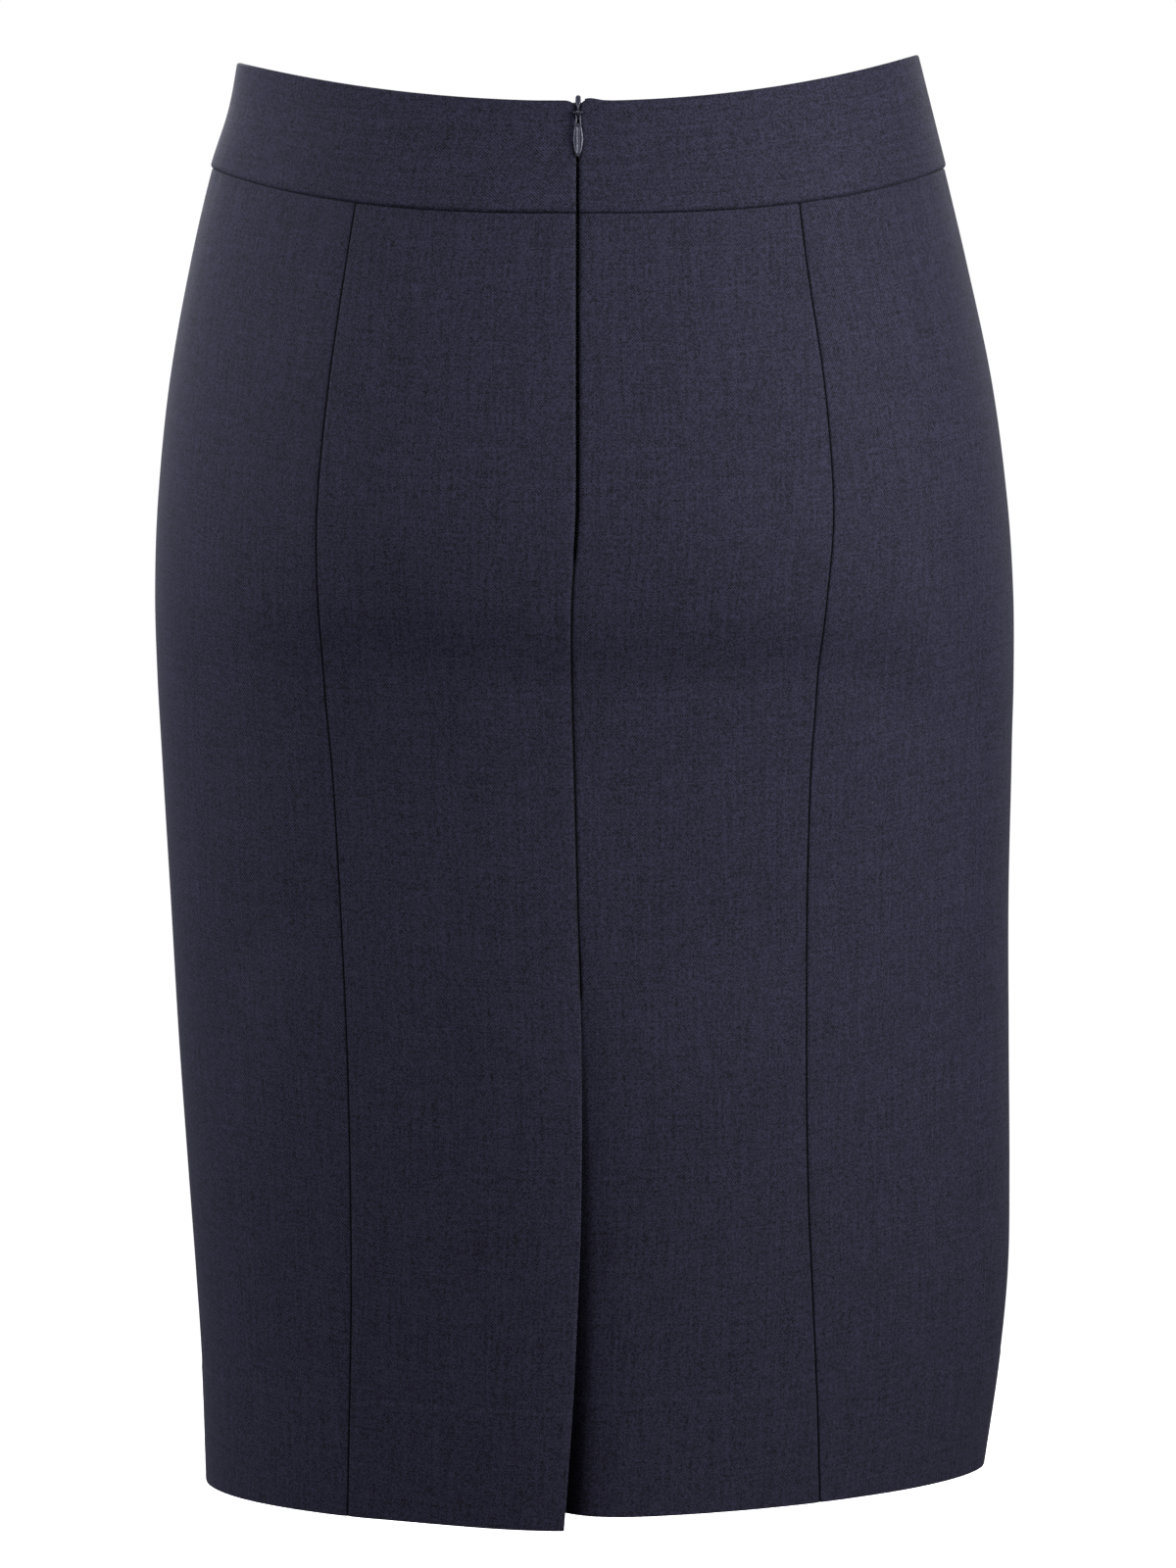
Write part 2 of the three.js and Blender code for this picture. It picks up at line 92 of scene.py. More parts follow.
VENT = dict(
    top=-338, underlap=38, kick=6.0, kick_reach=75, lap_drop=3.3, underlap_rise=0.2,
    sink_top=2.2, sink_hem=9.0, sink_reach=52, sink_power=4, lead=40,
)
ZIP = dict(x=-0.35, straight_to=-95, bottom=-157, half_gap=0.7, tail=14)
MOUTH = {1: dict(width=5.5, depth=3.0), -1: dict(width=3.0, depth=5.0)}  # the band's top corners
PIVOT = dict(x=-0.55, z=21.9, proud=1.9)


def ramp(t):
    s = np.clip(t, 0, 1)
    return s * s * (3 - 2 * s)


def mix(a, b, t):
    return a + (b - a) * t


def section(z):
    """All the form's columns at heights z, on a smooth curve through the sections."""
    z = np.asarray(z, float)
    i = np.clip(np.searchsorted(-SECTIONS[:, 0], -z, side="right") - 1, 0, len(SECTIONS) - 2)
    a, b = SECTIONS[i], SECTIONS[i + 1]
    span = (b - a)[..., :1]
    t = (z[..., None] - a[..., :1]) / span
    value = a * (1 + 2 * t) * (1 - t) ** 2 + b * t * t * (3 - 2 * t)
    value = value + span * t * (1 - t) * ((1 - t) * SLOPES[i] - t * SLOPES[i + 1])
    return {name: value[..., c] for c, name in enumerate(COLUMNS)}


def on_form(angle, z):
    """A point of the cloth's outer face. Angle 0 is the wearer's left, a quarter turn the back."""
    s = section(z)
    c, d = np.cos(angle), np.sin(angle)
    back_power = np.where(c >= 0, s["round_left"], s["round_right"])
    power = 2 / np.where(d >= 0, back_power, FRONT_ROUNDNESS)
    x = np.sign(c) * np.where(c >= 0, s["left"], s["right"]) * np.abs(c) ** power
    y = np.sign(d) * np.where(d >= 0, s["back"], s["front"]) * np.abs(d) ** power
    return np.stack([x, y, np.broadcast_to(z, x.shape)], -1)


def outward(angle, z):
    around = on_form(angle + 0.004, z) - on_form(angle - 0.004, z)
    up = on_form(angle, z + 1) - on_form(angle, z - 1)
    n = np.cross(around, up)
    return n / np.linalg.norm(n, axis=-1, keepdims=True)


def angle_of(x, z):
    """The angle at which the back's section passes through x."""
    s = section(z)
    half = np.where(x >= 0, s["left"], s["right"])
    power = np.where(x >= 0, s["round_left"], s["round_right"]) / 2
    return np.arccos(np.sign(x) * np.minimum(1, np.abs(x) / half) ** power)


def height_of(line, angle):
    c = np.cos(angle)
    centre = np.where(np.sin(angle) >= 0, line["back"], line["front"])
    side = np.where(c >= 0, line["left"], line["right"])
    return mix(centre, side, np.abs(c) ** line["power"])


def centre_line(z):
    t = (ZIP["straight_to"] - z) / (ZIP["straight_to"] - ZIP["bottom"])
    return mix(ZIP["x"], section(z)["centre"], ramp(t))


def centre_half_gap(z, side):
    corner = np.clip((z - BAND_TOP["back"]) / MOUTH[side]["depth"] + 1, 0, 1)
    opening = mix(ZIP["half_gap"], MOUTH[side]["width"], 1 - np.sqrt(1 - corner ** 2))
    return mix(opening, SEAM_GAP / 2, ramp((ZIP["bottom"] - z) / 6))


def centre_angle(z, side):
    return angle_of(centre_line(z) + side * centre_half_gap(z, side), z)


def princess_left(z, side):
    return angle_of(section(z)["princess_left"] + side * SEAM_GAP / 2, z)


def princess_right(z, side):
    return angle_of(-section(z)["princess_right"] + side * SEAM_GAP / 2, z)


def lap_lift(x, z):
    """How far the left panel's free edge stands out over the vent."""
    down = (VENT["top"] - z) / (VENT["top"] - HEM["back"])
    return VENT["kick"] * ramp(down) * ramp(1 - (x - section(z)["centre"]) / VENT["kick_reach"])


def underlap_lift(x, z):
    """How far the right panel and its extension lie in behind the lap."""
    down = np.clip((VENT["top"] - z) / (VENT["top"] - HEM["back"]), 0, 1)
    depth = mix(VENT["sink_top"], VENT["sink_hem"], down)
    across = np.clip(1 - (section(z)["centre"] - x) / VENT["sink_reach"], 0, 1)
    started = ramp((VENT["top"] + VENT["lead"] - z) / VENT["lead"])
    return -depth * started * across ** VENT["sink_power"]


# ---- Folds and seams -------------------------------------------------------------------------

# Soft hollows (negative) and swells, on the back (1) or the front (-1): where they lie, how far
# they reach across and up, how they lean, and how high they are.
FOLD_COLUMNS = ("face", "x", "z", "across", "up", "lean_deg", "height")
FOLDS = (
    (1, -70, -206, 62, 14, -4, -1.2),
    (1, -60, -160, 42, 30, 0, 1.0),
    (1, 60, -200, 60, 16, 5, -1.2),
    (1, 62, -152, 40, 34, 0, 0.7),
    (1, -140, -222, 34, 12, 24, -1.2),
    (1, -45, -268, 46, 26, -4, 1.0),
    (1, -52, -372, 30, 52, 38, 2.6),
    (1, -70, -480, 26, 60, 0, 1.2),
    (1, -120, -440, 18, 90, 4, -1.0),
    (1, 128, -318, 20, 30, 12, -1.4),
    (1, 38, -350, 10, 60, 3, 0.7),
    (1, 60, -360, 20, 110, -3, -0.8),
    (1, 125, -330, 16, 120, 3, 0.9),
    (1, 8, -350, 30, 95, 0, 1.8),
    (1, 130, -60, 20, 14, 30, -0.5),
    (-1, 40, -150, 60, 40, 0, 0.8),
    (-1, -55, -165, 60, 40, 0, 0.9),
    (-1, -10, -225, 85, 18, 3, -1.4),
    (-1, 70, -330, 22, 110, -4, -1.2),
    (-1, -65, -350, 24, 120, 5, -1.3),
    (-1, 5, -400, 20, 120, 2, 0.9),
    (-1, -120, -430, 20, 90, 4, 0.8),
    (-1, 118, -420, 20, 90, -4, 0.9),
    (-1, 128, -70, 22, 12, -26, -0.6),
    (-1, -130, -64, 20, 12, 28, -0.5),
)


def folds(x, z, angle):
    total = np.zeros_like(x)
    facing = np.sin(angle)
    for row in FOLDS:
        f = dict(zip(FOLD_COLUMNS, row))
        lean = math.radians(f["lean_deg"])
        dx, dz = x - f["x"], z - f["z"]
        a = (dx * math.cos(lean) + dz * math.sin(lean)) / f["across"]
        b = (dz * math.cos(lean) - dx * math.sin(lean)) / f["up"]
        on_face = ramp(0.5 + facing * f["face"] * 2)
        total += f["height"] * on_face * np.exp(-(a * a + b * b))
    return total


def wiggle(s, seed):
    """A gentle uneven wave along a seam, between about -1 and 1."""
    waves = ((7.3, 0.3), (11.9, 1.7), (19.7, 4.1), (31.3, 2.3))
    return sum(np.sin(2 * math.pi * s / p + k + seed) for p, k in waves) / 2.6


def rolled(distance, radius, depth):
    """How far an edge turns down, as a quarter round of that radius and depth."""
    t = np.clip(1 - distance / radius, 0, 1)
    return depth * (1 - np.sqrt(1 - t * t))


# How a panel's edge is finished. radius, depth: of its rolled edge. allowance, doubled: how far the
# cloth turned in under it reaches, and how thick it is. dark, width: how strong the line of shadow
# painted into the cloth's colour in the seam is, and how wide it is at full strength.
EDGES = {
    "seam": dict(radius=1.15, depth=0.8, allowance=13, doubled=0.55, dark=0.9, width=0.26),
    "centre": dict(radius=1.7, depth=1.1, allowance=13, doubled=0.55, dark=1.0, width=0.42),
    "zip": dict(radius=1.5, depth=1.3, allowance=15, doubled=0.9, dark=0.6, width=0.1),
    "lap": dict(radius=1.3, depth=0.8, allowance=40, doubled=0.7, dark=0.0, width=0.1),
}
ROLLS = {"top": (0.8, 0.6), "hem": (0.45, 0.3), "hem_inside": (0.9, 0.5)}  # radius, depth
CLOTH = 0.7  # the shell's wall, where nothing is turned in
RIDGE = 0.12  # of a seam's allowance, showing through
HEM_TURN = 50
PUCKER = 0.1
STRAINED_PUCKER = dict(amount=0.32, x=134, reach=24, on_right=0.5)  # near the side seams
DART = dict(
    tip=-118, fade=40, groove=0.5, groove_width=0.45, swell=0.25, swell_reach=4,
    allowance=11, doubled=0.7,
)


class Grid:
    """A panel's points on the form, with each point's distances from the panel's four edges."""

    def __init__(self, angle, z):
        self.angle, self.z = angle, z
        self.base = on_form(angle, z)
        self.out = outward(angle, z)
        self.x = self.base[..., 0]
        across = np.linalg.norm(np.diff(self.base, axis=1), axis=-1)
        down = np.linalg.norm(np.diff(self.base, axis=0), axis=-1)
        self.first = np.pad(np.cumsum(across, 1), ((0, 0), (1, 0)))
        self.last = self.first[:, -1:] - self.first
        self.top = np.pad(np.cumsum(down, 0), ((1, 0), (0, 0)))
        self.foot = self.top[-1:] - self.top


# The places beside a seam or a hem's turn that have a row or column of their own.
NEAR_LINE = (0, 0.15, 0.35, 0.6, 0.9, 1.4, 2.2, 3.6, 6, 9, 12, 13.5)


def stations(length, lines, coarse):
    """Shares of a length, close together about each line and at most coarse apart elsewhere."""
    marks = {0.0, float(length)}
    for line in lines:
        marks |= {round(line + s * n, 2) for n in NEAR_LINE for s in (-1, 1)}
    marks = sorted(m for m in marks if 0 <= m <= length)
    steps = []
    for a, b in zip(marks, marks[1:]):
        steps += list(np.linspace(a, b, max(1, math.ceil((b - a) / coarse)), endpoint=False))
    return np.array(steps + [length]) / length


GRID_ROUNDS = 9  # angle and height depend on each other, and are settled in turns


def grid(edges, heights, columns):
    """heights is a list of functions of the angle; columns are shares of the way across, negative
    on the vent's extension."""
    share = np.broadcast_to(columns, (len(heights), len(columns)))
    angle = np.full(share.shape, math.pi / 2)
    for _ in range(GRID_ROUNDS):
        z = np.stack([h(angle[i]) for i, h in enumerate(heights)])
        start, end, extension = edges(z)
        angle = np.where(share < 0, mix(start, extension, -share), mix(start, end, share))
    z = np.stack([h(angle[i]) for i, h in enumerate(heights)])
    return Grid(angle, z)


def past_seams(base, sewn_column):
    """The points with the top and foot rows and the two sewn columns moved out by the lap, which is
    just over a seam and doesn't show at a free edge."""
    moved = base.copy()
    for edge, inside in (
        (np.s_[:, sewn_column], np.s_[:, sewn_column + 1]), (np.s_[:, -1], np.s_[:, -2]),
        (np.s_[0], np.s_[1]), (np.s_[-1], np.s_[-2]),
    ):
        step = base[edge] - base[inside]
        moved[edge] += SEAM_LAP * step / np.linalg.norm(step, axis=-1, keepdims=True)
    return moved


def shell(name, g, outer, inner, material, keep=None, attributes=None, sewn_column=0):
    """A closed thin shell from the offsets of its two faces, with a map of the cloth in metres.
    The inner face laps over its neighbours, so no light comes through the seams."""
    rows, cols = g.x.shape
    points = np.concatenate([
        (g.base + g.out * outer[..., None]).reshape(-1, 3),
        (past_seams(g.base, sewn_column) + g.out * inner[..., None]).reshape(-1, 3),
    ]) * MM
    index = np.arange(rows * cols).reshape(rows, cols)
    back = index + rows * cols
    kept = np.ones((rows - 1, cols - 1), bool) if keep is None else keep
    a, b, c, d = index[:-1, :-1], index[1:, :-1], index[1:, 1:], index[:-1, 1:]
    quads = [np.stack([a, b, c, d], -1)[kept]]
    quads.append(np.stack([d, c, b, a], -1)[kept] + rows * cols)
    padded = np.pad(kept, 1)
    rims = (
        (kept & ~padded[:-2, 1:-1], a, d), (kept & ~padded[2:, 1:-1], c, b),
        (kept & ~padded[1:-1, :-2], b, a), (kept & ~padded[1:-1, 2:], d, c),
    )
    for edge, p, q in rims:
        quads.append(np.stack([p, q, q + rows * cols, p + rows * cols], -1)[edge])
    faces = np.concatenate(quads)
    used = np.unique(faces)
    renumber = np.zeros(len(points), int)
    renumber[used] = np.arange(len(used))
    faces, points = renumber[faces], points[used]

    mesh = bpy.data.meshes.new(name)
    mesh.from_pydata(points.tolist(), [], faces.tolist())
    mid = g.first[:, cols // 2: cols // 2 + 1]
    uv = np.stack([g.first - mid, -g.top], -1).reshape(-1, 2)
    uv = np.concatenate([uv, uv + 0.37])[used] * MM
    loops = np.empty(len(mesh.loops), int)
    mesh.loops.foreach_get("vertex_index", loops)
    mesh.uv_layers.new(name="cloth").data.foreach_set("uv", uv[loops].ravel())
    for key, (front, behind) in (attributes or {}).items():
        values = np.concatenate([front.ravel(), behind.ravel()])[used]
        mesh.attributes.new(key, "FLOAT", "POINT").data.foreach_set("value", values)
    mesh.polygons.foreach_set("use_smooth", np.ones(len(mesh.polygons), bool))
    mesh.materials.append(material)
    mesh.validate()
    piece = bpy.data.objects.new(name, mesh)
    bpy.context.collection.objects.link(piece)
    return piece


# ---- Materials -------------------------------------------------------------------------------

class Nodes:
    """A material under construction."""

    def __init__(self, name):
        self.material = bpy.data.materials.new(name)
        self.material.use_nodes = True
        self.tree = self.material.node_tree
        self.shader = self.tree.nodes["Principled BSDF"]

    def add(self, kind, inputs=None, **settings):
        node = self.tree.nodes.new("ShaderNode" + kind)
        for key, value in settings.items():
            setattr(node, key, value)
        for key, value in (inputs or {}).items():
            self.put(node, key, value)
        return node

    def put(self, node, key, value):
        if isinstance(value, bpy.types.NodeSocket):
            self.tree.links.new(value, node.inputs[key])
        else:
            node.inputs[key].default_value = value

    def math(self, operation, a, b=0.0, c=0.0):
        node = self.add("Math", {0: a, 1: b, 2: c}, operation=operation)
        return node.outputs[0]

    def noise(self, vector, scale, detail=2.0, roughness=0.5):
        node = self.add("TexNoise", {"Vector": vector, "Scale": scale, "Detail": detail,
                                     "Roughness": roughness})
        return node.outputs["Fac"]

    def stretched(self, vector, scale):
        node = self.add("Mapping", {"Vector": vector, "Scale": scale})
        return node.outputs[0]

    def blend(self, amount, a, b, mode="MIX"):
        node = self.add("Mix", data_type="RGBA", blend_type=mode)
        self.put(node, 0, amount)
        self.put(node, 6, a)
        self.put(node, 7, b)
        return node.outputs[2]

    def bump(self, height, distance, strength=1.0):
        node = self.add("Bump", {"Height": height, "Distance": distance, "Strength": strength})
        self.put(self.shader, "Normal", node.outputs[0])


# Metres. The yarns' thickness, how long their tones run, and the size of one crossing.
YARN = 0.00048
STREAK = 0.014
CROSSING = 0.00052
# Metres. Slubs: their thickness, and how long they run along the warp and the weft.
SLUB, WARP_SLUB, WEFT_SLUB = 0.0013, 0.045, 0.035
STITCH = 0.0022  # metres between the overlocking's stitches
# Turns a metre, along and across the cloth, of the twill's ribs and of the weaker cross ribs.
RIBS = (914, -716)
CROSS_RIBS = (890, 740)


def suiting(name, base, warp_turn=False):
    """Fine navy twill in mixed yarns: ribs, streaks both ways, and a soft bloom."""
    n = Nodes(name)
    uv = n.add("UVMap", uv_map="cloth").outputs[0]
    parts = n.add("SeparateXYZ", {0: uv})
    x, y = parts.outputs[0], parts.outputs[1]
    if warp_turn:
        x, y = y, n.math("MULTIPLY", x, -1)
    flat = n.add("CombineXYZ", {0: x, 1: y}).outputs[0]
    stray = n.math("MULTIPLY", n.noise(flat, 260.0), 4.0)

    def wave(turns):
        phase = n.math("ADD", n.math("MULTIPLY", x, turns[0]), n.math("MULTIPLY", y, turns[1]))
        return n.math("SINE", n.math("MULTIPLY_ADD", phase, 2 * math.pi, stray))

    ribs, cross_ribs = wave(RIBS), wave(CROSS_RIBS)
    warp = n.noise(n.stretched(flat, (1 / YARN, 1 / STREAK, 1)), 1.0, 2.0)
    weft = n.noise(n.stretched(flat, (1 / STREAK, 1 / YARN, 1)), 1.0, 2.0)
    long_warp = n.noise(n.stretched(flat, (1 / SLUB, 1 / WARP_SLUB, 1)), 1.0, 1.0)
    long_weft = n.noise(n.stretched(flat, (1 / WEFT_SLUB, 1 / SLUB, 1)), 1.0, 1.0)
    cloud = n.noise(flat, 22.0, 3.0)

    def centred(value, amount):
        return n.math("MULTIPLY", n.math("SUBTRACT", value, 0.5), amount)

    # Each crossing of two yarns has a tone of its own.
    crossing = n.add("VectorMath", {0: flat, 1: (CROSSING, CROSSING, 1)}, operation="SNAP")
    mixed = n.add("TexWhiteNoise", {"Vector": crossing.outputs[0]}, noise_dimensions="2D")

    tone = 1.0
    for value, amount in (
        (warp, 0.7), (weft, 0.7), (long_warp, 0.75), (long_weft, 0.5), (cloud, 0.12),
        (mixed.outputs["Value"], 1.3),
    ):
        tone = n.math("ADD", tone, centred(value, amount))
    tone = n.math("ADD", tone, n.math("MULTIPLY", ribs, 0.42))
    tone = n.math("ADD", tone, n.math("MULTIPLY", cross_ribs, 0.25))

    # Rare pale specks of lint.
    specks = n.add("TexVoronoi", {"Vector": flat, "Scale": 34.0, "Randomness": 1.0})
    speck = n.math("LESS_THAN", specks.outputs["Distance"], 0.012)

    # seam: painted shadow along the seams, the darts and the seam under the band.
    seam = n.add("Attribute", attribute_name="seam").outputs["Fac"]
    thread = n.add("Attribute", attribute_name="thread").outputs["Fac"]
    hue = n.blend(n.noise(flat, 420.0), (*base[0], 1), (*base[1], 1))
    grey = n.add("CombineColor", {0: tone, 1: tone, 2: tone}).outputs[0]
    colour = n.blend(1.0, hue, grey, "MULTIPLY")
    colour = n.blend(n.math("MULTIPLY", speck, 0.5), colour, (0.16, 0.17, 0.2, 1))
    # Painted shadow: the cloth's colour darkened nearly to black in the seams' lines, where shade
    # falls.
    colour = n.blend(n.math("MULTIPLY", seam, 0.8), colour, (0.004, 0.004, 0.007, 1))
    zigzag = n.math("SINE", n.math("MULTIPLY", y, 2 * math.pi / STITCH))
    sewn = n.math("MULTIPLY", thread, n.math("ADD", 0.7, n.math("MULTIPLY", zigzag, 0.3)))
    colour = n.blend(sewn, colour, (0.05, 0.05, 0.085, 1))
    n.put(n.shader, "Base Color", colour)
    n.put(n.shader, "Roughness", 0.82)
    n.put(n.shader, "Specular IOR Level", 0.25)
    n.put(n.shader, "Sheen Weight", 0.04)
    n.put(n.shader, "Sheen Roughness", 0.45)
    n.put(n.shader, "Sheen Tint", (0.75, 0.8, 1.0, 1))
    height = n.math("ADD", n.math("MULTIPLY", ribs, 0.5), n.math("ADD", warp, weft))
    height = n.math("ADD", height, n.math("MULTIPLY", zigzag, n.math("MULTIPLY", thread, 2.0)))
    n.bump(height, 0.00007, 0.8)
    return n.material


TAPE_WEAVE = dict(across=0.0007, along=0.0006)  # metres a thread


def tape_material():
    n = Nodes("zip_tape")
    uv = n.add("UVMap", uv_map="cloth").outputs[0]
    parts = n.add("SeparateXYZ", {0: uv})
    across = n.math("SINE", n.math("MULTIPLY", parts.outputs[0], 2 * math.pi / TAPE_WEAVE["across"]))
    along = n.math("SINE", n.math("MULTIPLY", parts.outputs[1], 2 * math.pi / TAPE_WEAVE["along"]))
    weave = n.math("MULTIPLY", across, along)
    tone = n.math("ADD", n.math("MULTIPLY", weave, 0.2), n.noise(uv, 300.0))
    n.put(n.shader, "Base Color", n.blend(tone, (0.008, 0.008, 0.014, 1), (0.024, 0.023, 0.038, 1)))
    n.put(n.shader, "Roughness", 0.9)
    n.bump(weave, 0.00008, 0.7)
    return n.material


def nylon_material():
    n = Nodes("zip_coil")
    where = n.add("TexCoord").outputs["Object"]
    tone = n.noise(where, 900.0)
    n.put(n.shader, "Base Color", n.blend(tone, (0.006, 0.006, 0.01, 1), (0.018, 0.018, 0.028, 1)))
    n.put(n.shader, "Roughness", n.math("ADD", 0.35, n.math("MULTIPLY", tone, 0.2)))
    n.bump(tone, 0.00003, 0.5)
    return n.material


def lacquer_material():
    """Dark lacquer over cast metal, a little worn where it is touched."""
    n = Nodes("zip_lacquer")
    where = n.add("TexCoord").outputs["Object"]
    wear = n.noise(where, 1400.0, 4.0, 0.65)
    edge = n.add("NewGeometry").outputs["Pointiness"]
    on_edge = n.math("GREATER_THAN", edge, 0.56)
    worn = n.math("MULTIPLY", on_edge, n.math("GREATER_THAN", wear, 0.55))
    dark, pale = (0.066, 0.069, 0.095, 1), (0.095, 0.099, 0.13, 1)
    mottled = n.blend(n.noise(where, 500.0), dark, pale)
    bare = (0.6, 0.6, 0.64, 1)
    n.put(n.shader, "Base Color", n.blend(n.math("MULTIPLY", worn, 0.4), mottled, bare))
    n.put(n.shader, "Metallic", 0.4)
    n.put(n.shader, "Roughness", n.math("ADD", 0.14, n.math("MULTIPLY", wear, 0.16)))
    n.bump(wear, 0.00002, 0.4)
    return n.material


# Linear colours, mixed in patches.
NAVY = ((0.0240, 0.0224, 0.0455), (0.0278, 0.0259, 0.0505))
cloth_material = suiting("suiting", NAVY)
band_material = suiting("suiting_band", NAVY, warp_turn=True)
tape = tape_material()
nylon = nylon_material()
lacquer = lacquer_material()

# ---- Panels ----------------------------------------------------------------------------------

UPPER, LOWER = 330, 222  # lengths of a panel above and below the vent's top
COARSE = 4.0  # the widest spacing of a grid's lines
# About how wide each piece is, to space its columns by.
WIDTH = dict(front=475, side=165, centre=100, band_front=408, band_back=205)
DARTS = (162, 313)  # from the front's right edge


def panel_heights(rise_at_back):
    upper = stations(UPPER, (0, UPPER), COARSE)[:-1]
    lower = stations(LOWER, (LOWER - HEM_TURN, LOWER), COARSE)

    def hem_at(angle):
        return height_of(HEM, angle) + rise_at_back * np.maximum(0, np.sin(angle)) ** 3

    def above(t):
        return lambda angle: mix(height_of(BAND_SEAM, angle) - SEAM_GAP / 2, VENT["top"], t)

    def below(t):
        return lambda angle: mix(VENT["top"], hem_at(angle), t)

    return [above(t) for t in upper] + [below(t) for t in lower], len(upper)


LEFT_HEIGHTS, VENT_ROW = panel_heights(-VENT["lap_drop"])
RIGHT_HEIGHTS, _ = panel_heights(VENT["underlap_rise"])
FORM_RADIUS = 115  # near the side seams, where half a seam's gap is turned into an angle
GAP_ANGLE = SEAM_GAP / 2 / FORM_RADIUS
SIDE_RIGHT = math.pi + SIDE_SEAM


def always(value):
    return lambda at: np.full_like(at, value)


def edge_angles(start, end, extension=None):
    """A piece's first and last edges, and its extension's edge, as angles at heights z."""
    return lambda z: (start(z), end(z), (extension or start)(z))


FRONT_EDGES = edge_angles(
    always(SIDE_RIGHT + GAP_ANGLE), always(2 * math.pi - SIDE_SEAM - GAP_ANGLE))


def edge_finish(distance, along, style, seed):
    """Outer offset, doubled cloth, painted shadow line in the seam and overlocking, for one edge of a
    panel.
    """
    e = EDGES[style]
    outer = -rolled(distance, e["radius"], e["depth"])
    ridge = RIDGE * (1 - ramp((distance - e["allowance"] + 2) / 4)) * ramp(distance / 3)
    pucker = PUCKER * wiggle(along, seed) * np.exp(-distance / 5) * ramp(distance / 1.5)
    doubled = e["doubled"] * (1 - ramp((distance - e["allowance"]) / 0.8))
    # Painted shadow: how dark the seam's line is painted into the cloth's colour.
    dark = e["dark"] * (1 - ramp((distance - e["width"]) / 0.4))
    past = distance - e["allowance"]
    thread = ramp((past + 3) / 0.6) * (1 - ramp(past / 0.5))
    return outer + ridge + pucker, doubled, dark, thread


class Finish:
    """A panel's cloth at each point of its grid: the outer face's offset from the form, how thick
    the cloth turned in is, and how strong the seam's painted shadow and the overlocking are."""

    def __init__(self, g):
        self.g = g
        self.outer = folds(g.x, g.z, g.angle)
        self.doubled = np.zeros_like(g.x)
        self.seam = np.zeros_like(g.x)
        self.thread = np.zeros_like(g.x)

    def side(self, distance, styles, seed):
        """styles has the edge's styles down it, each with the height at which it ends."""
        upper_end = np.inf
        for style, lower_end in styles:
            weight = ramp((upper_end - self.g.z) / 4) * (1 - ramp((lower_end - self.g.z) / 4))
            upper_end = lower_end
            bent, thicker, dark, sewn = edge_finish(distance, self.g.top, style, seed)
            self.outer += weight * bent
            self.doubled = np.maximum(self.doubled, weight * thicker)
            # self.seam gathers the painted shadow of the seams.
            self.seam = np.maximum(self.seam, weight * dark)
            self.thread = np.maximum(self.thread, weight * sewn)

    def dart(self, column):
        distance = np.abs(self.g.first - self.g.first[:, column:column + 1])
        strength = ramp((self.g.z - DART["tip"]) / DART["fade"])
        reach = DART["swell_reach"]
        self.outer -= strength * DART["groove"] * np.exp(-(distance / DART["groove_width"]) ** 2)
        self.outer += strength * DART["swell"] * np.exp(-((distance - reach) / reach) ** 2)
        # Painted shadow along the dart's groove.
        self.seam = np.maximum(self.seam, strength * (1 - ramp((distance - 0.1) / 0.35)))
        under = 1 - ramp((distance - DART["allowance"]) / 0.8)
        self.doubled = np.maximum(self.doubled, strength * DART["doubled"] * under)

    def top(self):
        """The seam under the waistband, with puckers that are strained near the side seams."""
        g, strain = self.g, STRAINED_PUCKER
        amount = strain["amount"] * np.exp(-((np.abs(g.x) - strain["x"]) / strain["reach"]) ** 2)
        amount = PUCKER + np.where(g.x > 0, amount, amount * strain["on_right"])
        self.outer += amount * wiggle(g.first, 0.7) * np.exp(-g.top / 9) * ramp(g.top / 2)
        self.outer -= rolled(g.top, *ROLLS["top"])
        # Painted shadow in the seam under the waistband.
        self.seam = np.maximum(self.seam, 1 - ramp((g.top - 0.1) / 0.5))

    def hem(self):
        """The hem is turned up and caught from inside: outside, a faint step with dimples."""
        g = self.g
        past = g.foot - HEM_TURN
        caught = 0.07 * wiggle(g.first * 1.3, 2.2) * np.exp(-(past / 2.5) ** 2)
        self.outer += 0.17 * (1 - ramp((past + 1.2) / 2.4)) + caught - rolled(g.foot, *ROLLS["hem"])
        self.doubled = np.maximum(self.doubled, 0.8 * (1 - ramp(past / 0.8)))
        self.thread = np.maximum(self.thread, np.exp(-((past + 1.5) / 1.2) ** 2))


def panel(name, edges, heights, width, styles, lift=None, darts=(), extension=0):
    """styles has the first edge's and the last edge's. An extension goes on past the first edge,
    below the vent's top."""
    columns = stations(width, [0, *darts, width], COARSE)
    zero = 0
    if extension:
        beyond = -stations(extension, (0, extension), COARSE)[:0:-1]
        zero = len(beyond)
        columns = np.concatenate([beyond, columns])
    g = grid(edges, heights, columns)
    finish = Finish(g)
    finish.side(np.abs(g.first - g.first[:, zero:zero + 1]), styles[0], 0)
    finish.side(g.last, styles[1], 1.3)
    for at in darts:
        finish.dart(np.argmin(np.abs(columns - at / width)))
    finish.top()
    finish.hem()
    outer = finish.outer + lift(g.x, g.z) if lift else finish.outer
    inner = outer - CLOTH - finish.doubled + rolled(g.foot, *ROLLS["hem_inside"])
    kept = np.ones((len(heights) - 1, len(columns) - 1), bool)
    kept[:VENT_ROW, :zero] = False
    none = np.zeros_like(g.x)
    # The seam attribute carries the painted shadow of the seams; thread carries the overlocking.
    return shell(name, g, outer, inner, cloth_material, kept,
                 {"seam": (finish.seam, none), "thread": (none, finish.thread)}, zero)


